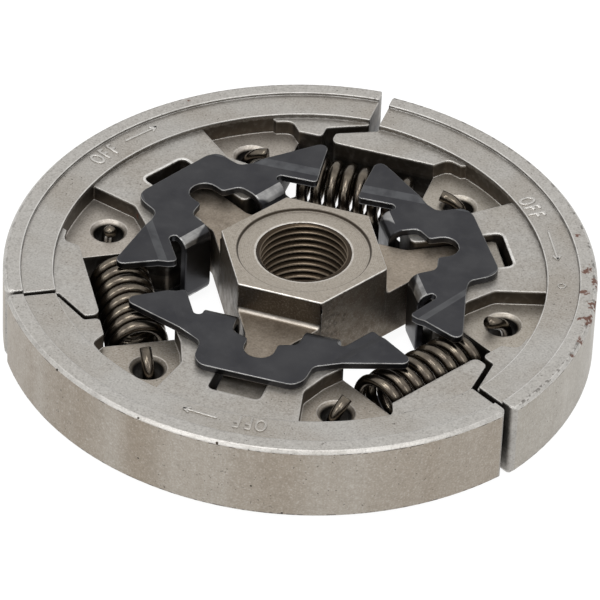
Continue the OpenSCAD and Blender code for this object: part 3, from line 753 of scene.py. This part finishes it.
@dataclass
class RaisedMarks:
    """The word OFF with an arrow that shows which way the hub unscrews, raised from the band."""

    place: ShoePlace
    band_height: float = 10.25 * MM
    letter_height: float = 2.2 * MM
    letter_pitch: float = 1.45 * MM
    narrow: float = 0.6
    rise: float = 0.14 * MM
    sunk: float = 0.05 * MM
    bevel: float = 0.04 * MM
    bolder: float = 0.03 * MM
    bar: float = 0.25 * MM
    barb: float = 1.0 * MM
    barb_lean: float = radians(32)
    ring_r: float = 0.45 * MM
    ring_at: Tuple[float, float] = (9.2 * MM, 31.3 * MM)

    def letter(self, char: str) -> bmesh.types.BMesh:
        """One letter in its own frame, upright along +Y and centred on its middle."""
        curve = bpy.data.curves.new(f"letter_{char}", type="FONT")
        curve.body = char
        curve.size = self.letter_height / 0.7
        curve.extrude = (self.rise + self.sunk) / 2 - self.bevel
        curve.bevel_depth = self.bevel
        curve.bevel_resolution = 1
        curve.resolution_u = 5
        curve.offset = self.bolder
        curve.align_x = "CENTER"
        item = bpy.data.objects.new(curve.name, curve)
        mesh = bpy.data.meshes.new_from_object(item)
        bpy.data.objects.remove(item)
        shape = bmesh.new()
        shape.from_mesh(mesh)
        bpy.data.meshes.remove(mesh)
        bpy.data.curves.remove(curve)
        middle = Vector((0, self.letter_height / 2, 0))
        bmesh.ops.translate(shape, verts=shape.verts, vec=-middle)
        bmesh.ops.scale(shape, verts=shape.verts, vec=(self.narrow, 1, 1))
        return shape

    def arrow(self) -> bmesh.types.BMesh:
        """A thin bar with a small head, pointing along +X."""
        shape = bmesh.new()
        half = self.place.arrow_len / 2
        height = self.rise + self.sunk
        strokes = [(2 * half, 0.0, 0.0)]
        strokes += [(self.barb, lean, -self.barb / 2 * cos(self.barb_lean)) for lean
                    in (self.barb_lean, -self.barb_lean)]
        for length, lean, back in strokes:
            stroke = bmesh.ops.create_cube(shape, size=1.0)["verts"]
            bmesh.ops.scale(shape, verts=stroke, vec=(length, self.bar, height))
            bmesh.ops.rotate(shape, verts=stroke, cent=(0, 0, 0), matrix=Matrix.Rotation(-lean, 3, "Z"))
            bmesh.ops.translate(shape, verts=stroke,
                                vec=(half + back if back else 0, -back * sin(lean), 0))
        return shape

    def ring(self) -> bmesh.types.BMesh:
        """A small round mark with a raised border."""
        shape = bmesh.new()
        section = bmesh.ops.create_circle(shape, segments=8, radius=self.rise / 2)["verts"]
        bmesh.ops.rotate(shape, verts=section, cent=(0, 0, 0), matrix=Matrix.Rotation(pi / 2, 3, "X"))
        bmesh.ops.translate(shape, verts=section, vec=(self.ring_r, 0, 0))
        bmesh.ops.spin(shape, geom=shape.verts[:] + shape.edges[:], cent=(0, 0, 0), axis=(0, 0, 1),
                       angle=2 * pi, steps=24, use_merge=True)
        return shape

    def seat(self, shape: bmesh.types.BMesh, across: float, reach: float) -> None:
        """Lays a mark on the band, turned so that its top points away from the hub.

        Args:
            shape: mark in its own frame.
            across: distance from the arm's line, clockwise.
            reach: distance from the hub axis, along the arm.
        """
        rise = self.band_height + (self.rise - self.sunk) / 2
        turn = -atan2(across, reach + self.place.travel)
        matrix = (self.place.matrix() @ Matrix.Translation((across, reach, rise))
                  @ Matrix.Rotation(turn, 4, "Z"))
        bmesh.ops.transform(shape, matrix=matrix, verts=shape.verts)

    def build(self, finish: bpy.types.Material) -> bpy.types.Object:
        """Makes all marks of one shoe as one piece.

        Args:
            finish: material of the shoe.

        Returns:
            The piece, riding on its shoe.
        """
        place = self.place
        radius = place.mark_reach + place.travel
        placed = [(self.letter(c), place.letters_at + i * self.letter_pitch) for i, c in enumerate("OFF")]
        placed.append((self.arrow(), place.arrow_at + place.arrow_len / 2))
        joined = bmesh.new()
        for shape, across in placed:
            self.seat(shape, across, (radius ** 2 - across ** 2) ** 0.5 - place.travel)
            self.join(joined, shape)
        if place.ring_mark:
            ring = self.ring()
            self.seat(ring, *self.ring_at)
            self.join(joined, ring)
        piece = new_object(f"off_mark_{place.name}", mesh_from(f"off_mark_{place.name}", joined))
        piece.data.materials.append(finish)
        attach(piece, place.body)
        return piece

    @staticmethod
    def join(target: bmesh.types.BMesh, shape: bmesh.types.BMesh) -> None:
        """Adds a bmesh to another one and frees it."""
        mesh = bpy.data.meshes.new("part_of_mark")
        shape.to_mesh(mesh)
        shape.free()
        target.from_mesh(mesh)
        bpy.data.meshes.remove(mesh)


@dataclass
class Shoe:
    """One shoe: the CAD solid in its finish, with the raised marks on its band."""

    place: ShoePlace
    wall: str = "#918678"
    web: str = "#ABA397"
    rust_spots: Tuple[Spot, ...] = ()
    pits: Tuple[Spot, ...] = ()
    shine: float = 0.5
    chips: float = 0.15

    def build(self) -> None:
        """Dresses the CAD node and adds the marks."""
        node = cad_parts[f"shoe_{self.place.name}"]
        finish = SinteredShoeSteel(f"sintered_shoe_steel_{self.place.name}", self.place, self.wall,
                                   web=self.web, rust_spots=self.rust_spots, pits=self.pits,
                                   shine=self.shine, chips=self.chips).material()
        dress(node, finish)
        marks = RaisedMarks(self.place).build(finish)
        log.info("%s dressed, %s added", node.name, marks.name)


@dataclass
class Retainer:
    """One retainer: the CAD solid in blued sheet, with its cut edges tumbled."""

    place: ShoePlace
    finish: bpy.types.Material
    rounding: float = 0.13 * MM

    def build(self) -> None:
        """Dresses the CAD node and rounds its edges."""
        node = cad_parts[f"retainer_{self.place.name}"]
        dress(node, self.finish)
        deburr(node, self.rounding)
        log.info("%s dressed", node.name)


@dataclass
class Hub:
    """The carrier in its finish, with the thread cut into its bore."""

    bore_r: float = 6 * MM
    crest_r: float = 5.46 * MM
    pitch: float = 1 * MM
    crest_half: float = 0.07 * MM
    root_half: float = 0.44 * MM
    length: float = 12.25 * MM
    rounding: float = 0.18 * MM
    steps: int = 60

    def thread(self) -> bpy.types.Object:
        """Winds the left-hand ridge down the bore and trims it at both mouths."""
        shape = bmesh.new()
        root_r = self.bore_r + 0.04 * MM
        top = self.length + self.pitch
        profile = [(root_r, -self.root_half), (self.crest_r, -self.crest_half),
                   (self.crest_r, self.crest_half), (root_r, self.root_half)]
        corners = [shape.verts.new((r, 0, top + h)) for r, h in profile]
        shape.faces.new(corners)
        turns = int(self.length / self.pitch) + 3
        bmesh.ops.spin(shape, geom=shape.verts[:] + shape.edges[:] + shape.faces[:], cent=(0, 0, 0),
                       axis=(0, 0, 1), angle=2 * pi * turns, steps=self.steps * turns,
                       dvec=(0, 0, -self.pitch / self.steps))
        for height, normal in ((self.length - 0.05 * MM, (0, 0, 1)), (0.1 * MM, (0, 0, -1))):
            cut = bmesh.ops.bisect_plane(shape, geom=shape.verts[:] + shape.edges[:] + shape.faces[:],
                                         plane_co=(0, 0, height), plane_no=normal, clear_outer=True)
            rim = [e for e in cut["geom_cut"] if isinstance(e, bmesh.types.BMEdge)]
            bmesh.ops.holes_fill(shape, edges=rim)
        piece = new_object("bore_thread", mesh_from("bore_thread", shape))
        piece.data.materials.append(CutThreadSteel().material())
        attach(piece, "hub")
        return piece

    def build(self) -> None:
        """Dresses the carrier and adds the thread."""
        dress(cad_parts["carrier"], TurnedHubSteel().material())
        deburr(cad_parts["carrier"], self.rounding)
        thread = self.thread()
        log.info("carrier dressed, %s added with %d faces", thread.name, len(thread.data.polygons))


@dataclass
class Spring:
    """A tension spring between two shoes, made as two halves that are shaped to meet the settled shoes.

    The route follows the CAD spring: X runs clockwise along the spring and Y away from the hub.
    """

    name: str
    angle: float
    shoe_behind: ShoePlace
    shoe_ahead: ShoePlace
    finish: bpy.types.Material
    shift: float = 0.0
    wire_r: float = 0.75 * MM
    coil_r: float = 3.25 * MM
    coil_half: float = 7.55 * MM
    turns: int = 8
    hook_half: float = 13.9 * MM
    reach: float = 22.15 * MM
    height: float = 5.3 * MM
    hooks: Tuple[Hook, Hook] = (Hook(1.7, 1.5), Hook(1.7, 1.5))
    hook_r: float = 3.25 * MM
    hook_from: float = 11.45 * MM
    web_top: float = 7.55 * MM
    turn_steps: int = 36
    bend_steps: int = 20
    sides: int = 4

    def coil_route(self, end: End) -> List[Vector]:
        """Centre line from the middle of the coil to its last turn."""
        steps = self.turns // 2 * self.turn_steps
        route = []
        for i in range(steps + 1):
            turn = 2 * pi * i / self.turn_steps - pi / 2
            route.append(Vector((self.coil_half * i / steps + end.value * self.shift,
                                 self.coil_r * cos(turn), self.coil_r * sin(turn))))
        return route

    def hook_route(self, start: float, hook: Hook) -> List[Vector]:
        """Centre line from the last turn, round through the web's hole, to the wire's cut end.

        Args:
            start: distance of the last turn from the middle.
            hook: place of the cut end.

        Returns:
            The points of the hook.
        """
        route = [Vector((start + 0.9 * MM, 0.9 * MM, 0.05 * MM - self.coil_r)),
                 Vector((start + 1.9 * MM, 0.3 * MM, -self.coil_r))]
        centre = Vector((self.hook_from, 0, self.hook_r - self.coil_r))
        tip = Vector((self.hook_half - hook.back * MM, 0, self.web_top - self.height + hook.above * MM))
        straight = max((tip - centre).length_squared - self.hook_r ** 2, 0) ** 0.5
        last = atan2(tip.z - centre.z, tip.x - centre.x) - atan2(straight, self.hook_r)
        for i in range(self.bend_steps + 1):
            a = -pi / 2 + (last + pi / 2) * i / self.bend_steps
            route.append(centre + Vector((self.hook_r * cos(a), 0, self.hook_r * sin(a))))
        route.append(tip)
        return route

    def end_move(self, place: ShoePlace, end: End) -> Vector:
        """How far the settled shoe has taken its hook, in the spring's frame.

        Args:
            place: shoe at rest.
            end: end of the spring that hooks into it.

        Returns:
            The move.
        """
        nominal = Matrix.Rotation(radians(place.arm_angle - 90), 4, "Z")
        to_shoe = Matrix.Rotation(radians(60 * end.value), 4, "Z")
        hook = to_shoe @ Vector((end.value * self.hook_half, self.reach, 0))
        moved = place.matrix() @ hook - nominal @ hook
        return self.frame().to_3x3().inverted() @ moved

    def frame(self) -> Matrix:
        """Placement of the spring's own frame."""
        turn = Matrix.Rotation(radians(self.angle - 90), 4, "Z")
        return turn @ Matrix.Translation((0, self.reach, self.height))

    def half(self, end: End) -> bpy.types.Object:
        """One half of the spring as round wire.

        Args:
            end: end of the spring that the half has.

        Returns:
            The piece, which reaches from the middle of the spring to its shoe.
        """
        ahead = self.end_move(self.shoe_ahead, End.AHEAD)
        behind = self.end_move(self.shoe_behind, End.BEHIND)
        last = self.coil_half + end.value * self.shift
        points = []
        hook = self.hooks[0] if end is End.AHEAD else self.hooks[1]
        for p in self.coil_route(end) + self.hook_route(last, hook):
            q = Vector((end.value * p.x, end.value * p.y, p.z))
            share = min(max(0.5 + q.x / (2 * self.hook_half), 0), 1)
            points.append(self.frame() @ (q + behind * (1 - share) + ahead * share))
        name = f"{self.name}_{end.name.lower()}"
        piece = new_object(name, self.wire(name, points))
        piece.data.materials.append(self.finish)
        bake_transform(piece)
        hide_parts(self.name)
        return piece

    def wire(self, name: str, points: List[Vector]) -> bpy.types.Mesh:
        """Round wire along a route, closed at both ends and smooth.

        Args:
            name: name of the mesh.
            points: route.

        Returns:
            The mesh.
        """
        curve = bpy.data.curves.new(name, type="CURVE")
        curve.dimensions = "3D"
        curve.bevel_depth = self.wire_r
        curve.bevel_resolution = self.sides
        curve.use_fill_caps = True
        spline = curve.splines.new("POLY")
        spline.points.add(len(points) - 1)
        for target, point in zip(spline.points, points):
            target.co = (*point, 1)
        item = bpy.data.objects.new(name, curve)
        mesh = bpy.data.meshes.new_from_object(item)
        bpy.data.objects.remove(item)
        bpy.data.curves.remove(curve)
        shape = bmesh.new()
        shape.from_mesh(mesh)
        bpy.data.meshes.remove(mesh)
        for face in shape.faces:
            face.smooth = True
        return mesh_from(name, shape)

    def build(self) -> None:
        """Makes both halves."""
        for end in End:
            piece = self.half(end)
            log.info("%s made with %d faces", piece.name, len(piece.data.polygons))


@dataclass
class Studio:
    """Pale floor, even surrounding light and three soft boxes, as for a catalogue picture."""

    floor_size: float = 3.0
    floor_gap: float = 0.05 * MM
    glow: float = 0.93
    horizon: float = 0.7
    zenith: float = 1.05
    high: float = 0.75
    paper: str = "#6A6A6A"

    def floor(self) -> None:
        """Lays the floor, which shows white and keeps a faint shadow."""
        shape = bmesh.new()
        bmesh.ops.create_grid(shape, x_segments=1, y_segments=1, size=self.floor_size / 2)
        bmesh.ops.translate(shape, verts=shape.verts, vec=(0, 0, cad_box[0][2] - self.floor_gap))
        item = new_object("floor", mesh_from("floor", shape))
        material = bpy.data.materials.new("white_paper_floor")
        material.use_nodes = True
        tree = material.node_tree
        tree.nodes.clear()
        path = add_node(tree, "ShaderNodeLightPath")
        seen = add_node(tree, "ShaderNodeMath", {0: path.outputs["Is Camera Ray"],
                                                 1: path.outputs["Is Glossy Ray"]}, operation="MAXIMUM")
        seen = add_node(tree, "ShaderNodeMath", {0: seen.outputs[0], 1: path.outputs["Is Transmission Ray"]},
                        operation="MAXIMUM")
        paper = add_node(tree, "ShaderNodeBsdfDiffuse", {"Color": linear(self.paper)})
        glow = add_node(tree, "ShaderNodeEmission", {"Color": linear("#FFFFFF"), "Strength": self.glow})
        lit = add_node(tree, "ShaderNodeAddShader", {0: paper.outputs[0], 1: glow.outputs[0]})
        plain = add_node(tree, "ShaderNodeBsdfDiffuse", {"Color": linear("#F0F0F0")})
        both = add_node(tree, "ShaderNodeMixShader", {0: seen.outputs[0], 1: plain.outputs[0],
                                                      2: lit.outputs[0]})
        add_node(tree, "ShaderNodeOutputMaterial", {"Surface": both.outputs[0]})
        item.data.materials.append(material)

    def world(self) -> None:
        """Sets the even light, which the camera sees as white."""
        world = bpy.data.worlds.new("studio_white")
        bpy.context.scene.world = world
        world.use_nodes = True
        tree = world.node_tree
        tree.nodes.clear()
        path = add_node(tree, "ShaderNodeLightPath")
        direction = add_node(tree, "ShaderNodeTexCoord")
        rise = add_node(tree, "ShaderNodeSeparateXYZ", {0: direction.outputs["Generated"]})
        sky = add_node(tree, "ShaderNodeMapRange", {0: rise.outputs[2], 1: 0.0, 2: self.high,
                                                    3: self.horizon, 4: self.zenith})
        strength = add_node(tree, "ShaderNodeMix", {0: path.outputs["Is Camera Ray"],
                                                    2: sky.outputs[0], 3: 1.0})
        light = add_node(tree, "ShaderNodeBackground", {"Color": linear("#FFFFFF"),
                                                        "Strength": strength.outputs[0]})
        add_node(tree, "ShaderNodeOutputWorld", {"Surface": light.outputs[0]})

    def soft_box(self, name: str, place: Tuple[float, float, float], size: float, radiance: float) -> None:
        """Hangs one square lamp that looks at the hub.

        Args:
            name: name of the lamp.
            place: place in metres.
            size: side of the square in metres.
            radiance: brightness of its face, where 1 is white.
        """
        lamp = bpy.data.lights.new(name, type="AREA")
        lamp.shape = "SQUARE"
        lamp.size = size
        lamp.energy = radiance * pi * size * size
        item = bpy.data.objects.new(name, lamp)
        item.location = place
        item.rotation_euler = Vector(place).to_track_quat("Z", "Y").to_euler()
        bpy.context.scene.collection.objects.link(item)

    def build(self) -> None:
        """Sets up floor, world and lamps."""
        bpy.context.scene.view_settings.view_transform = "Standard"
        self.floor()
        self.world()
        self.soft_box("overhead_box", (-0.02, -0.2, 0.76), 0.3, 5.0)
        self.soft_box("front_box", (-0.29, -0.47, 0.58), 0.22, 4.8)
        self.soft_box("side_box", (0.42, -0.3, 0.55), 0.2, 4.0)
        log.info("studio ready")


@dataclass
class PhotoCamera:
    """Camera found from the photograph: far away, with a long lens, and turned by a small roll."""

    focal_px: float = 5602.83
    frame_px: float = 600.0
    sensor: float = 36.0
    distance: float = 710.48 * MM
    elevation: float = 38.848
    azimuth: float = 16.9
    roll: float = 2.432
    centre_px: Tuple[float, float] = (300.757, 326.836)
    base_height: float = 0.15 * MM

    def build(self) -> None:
        """Creates the camera and makes it the scene's own."""
        rise, turn, roll = radians(self.elevation), radians(self.azimuth), radians(self.roll)
        right = Vector((cos(turn), sin(turn), 0))
        forward = Vector((-sin(turn) * cos(rise), cos(turn) * cos(rise), -sin(rise)))
        up = right.cross(forward)
        side = right * cos(roll) + up * sin(roll)
        top = up * cos(roll) - right * sin(roll)
        matrix = Matrix((side, top, -forward)).transposed().to_4x4()
        matrix.translation = Vector((0, 0, self.base_height)) - forward * self.distance
        lens = bpy.data.cameras.new("photo_camera")
        lens.sensor_width = self.sensor
        lens.lens = self.focal_px / self.frame_px * self.sensor
        lens.shift_x = -(self.centre_px[0] - self.frame_px / 2) / self.frame_px
        lens.shift_y = (self.centre_px[1] - self.frame_px / 2) / self.frame_px
        lens.clip_start = 0.01
        lens.clip_end = 10
        item = bpy.data.objects.new("photo_camera", lens)
        item.matrix_world = matrix
        bpy.context.scene.collection.objects.link(item)
        bpy.context.scene.camera = item
        log.info("camera ready")


def dress(node: bpy.types.Object, finish: bpy.types.Material) -> None:
    """Gives a CAD node its finish.

    Args:
        node: CAD node.
        finish: material for all its slots.
    """
    if not node.material_slots:
        node.data.materials.append(finish)
    for held in node.material_slots:
        held.material = finish


def deburr(node: bpy.types.Object, width: float) -> None:
    """Rounds the edges of a CAD node as tumbling does, by modifiers alone.

    Args:
        node: CAD node.
        width: width of the rounding.
    """
    weld = node.modifiers.new("weld", "WELD")
    weld.merge_threshold = 0.002 * MM
    flat = node.modifiers.new("flat", "DECIMATE")
    flat.decimate_type = "DISSOLVE"
    flat.angle_limit = radians(0.3)
    rounding = node.modifiers.new("rounding", "BEVEL")
    rounding.width = width
    rounding.segments = 3
    rounding.limit_method = "ANGLE"
    rounding.angle_limit = radians(35)
    rounding.use_clamp_overlap = False
    rounding.loop_slide = False
    rounding.miter_outer = "MITER_ARC"


FRONT = ShoePlace("front", "front_shoe", -90, 0.2 * MM, 0, -0.2, -5.4 * MM, 0.1 * MM, 4.4 * MM, 32.3 * MM)
RIGHT = ShoePlace("right", "right_shoe", 30, 0.35 * MM, -0.2 * MM, 0.2, -8.5 * MM, -2.0 * MM, 6 * MM,
                  32.2 * MM, ring_mark=True)
LEFT = ShoePlace("left", "left_shoe", 150, -0.1 * MM, 0.35 * MM, 0.8, -5.8 * MM, -0.5 * MM, 5 * MM,
                 33.3 * MM)


FRONT_PITS = (
    Spot((1.26, -36.85, 10.3), 0.35),
    Spot((10.29, -36.04, 10.2), 0.45),
    Spot((11.08, -36.14, 10.2), 0.3),
    Spot((5.68, -36.61, 4.62), 0.3),
    Spot((9.51, -35.84, 0.83), 0.25),
    Spot((-9.08, -36.0, 4.17), 0.3),
    Spot((-21.68, -30.51, 10.17), 0.35),
    Spot((-9.18, -35.98, 10.47), 0.35),
)
RIGHT_RUST = (
    Spot((33.7, 11.3, 10.65), 2.2, 0.6),
    Spot((36.2, 9.0, 10.65), 2.4, 0.7),
    Spot((34.9, 6.6, 10.65), 1.6, 0.75),
    Spot((37.2, 5.0, 10.65), 2.6, 0.75),
    Spot((36.9, 1.6, 10.5), 2.4, 0.7),
    Spot((38.2, 3.0, 9.8), 1.6, 0.6),
    Spot((37.2, -2.5, 10.5), 1.6, 0.6),
    Spot((36.9, -5.8, 10.5), 1.3, 0.55),
    Spot((30.6, 17.5, 10.65), 1.4, 0.5),
)
LEFT_RUST = (
    Spot((-23.2, 4.0, 8.6), 1.6, 0.5),
    Spot((-24.7, 27.0, 10.65), 0.7, 0.5),
)


def main() -> None:
    """Builds the pieces in order."""
    logging.basicConfig(level=logging.INFO, format="%(message)s")
    PhotoCamera().build()
    Studio().build()
    Hub().build()
    # The front shoe gets weaker painted highlights on its steps, slot lip and letter tops.
    Shoe(FRONT, web="#9F968A", pits=FRONT_PITS, shine=0.1).build()
    Shoe(RIGHT, wall="#9D988F", rust_spots=RIGHT_RUST, chips=0.6).build()
    Shoe(LEFT, web="#B1A99F", rust_spots=LEFT_RUST, chips=0.3).build()
    # The front retainer gets its own copy of the sheet, without the painted highlight on the steps.
    Retainer(FRONT, BluedSheet("blued_spring_sheet_front", bend_highlight=0.0).material()).build()
    sheet = BluedSheet().material()
    for place in (RIGHT, LEFT):
        Retainer(place, sheet).build()
    wire = DrawnSpringWire().material()
    Spring("spring_right", -30, RIGHT, FRONT, wire, hooks=(Hook(1.7, 1.5), Hook(2.6, 1.7))).build()
    Spring("spring_rear", 90, LEFT, RIGHT, wire, 0.15 * MM, hooks=(Hook(2.4, 1.1), Hook(2.1, 1.0))).build()
    Spring("spring_left", 210, FRONT, LEFT, wire, -0.35 * MM, hooks=(Hook(1.4, 0.9), Hook(2.0, 1.5))).build()


if __name__ == "__main__":
    main()
